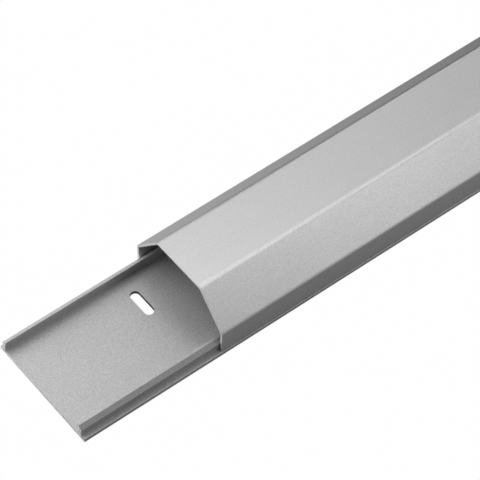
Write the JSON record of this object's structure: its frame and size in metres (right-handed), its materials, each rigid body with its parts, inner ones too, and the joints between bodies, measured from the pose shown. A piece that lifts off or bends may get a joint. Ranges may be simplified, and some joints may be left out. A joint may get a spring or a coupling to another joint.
{
  "type": "aluminium cable cover",
  "caption": "Two-piece surface cable duct: flat base rail with upright snap ribs and cross slots, and an angular snap cover that slides along it.",
  "frame": {"origin": "middle of the base rail's underside, on its centre line", "axes": "+X along the rail, from its uncovered end towards the end that the cover overhangs; +Z away from the wall or floor it is fixed to; Y across the rail"},
  "size_m": [1.1595, 0.05, 0.026],
  "materials": {
    "rail_metal": "satin",
    "cover_metal": "satin"
  },
  "bodies": {
    "rail": {"base_rail": "rail_metal"},
    "cover": {"snap_cover": "cover_metal"}
  },
  "joints": [
    {"name": "cover_slide", "type": "slide", "parent": "rail", "child": "cover", "axis": [1, 0, 0], "range_m": [-0.0595, 1.045]}
  ]
}
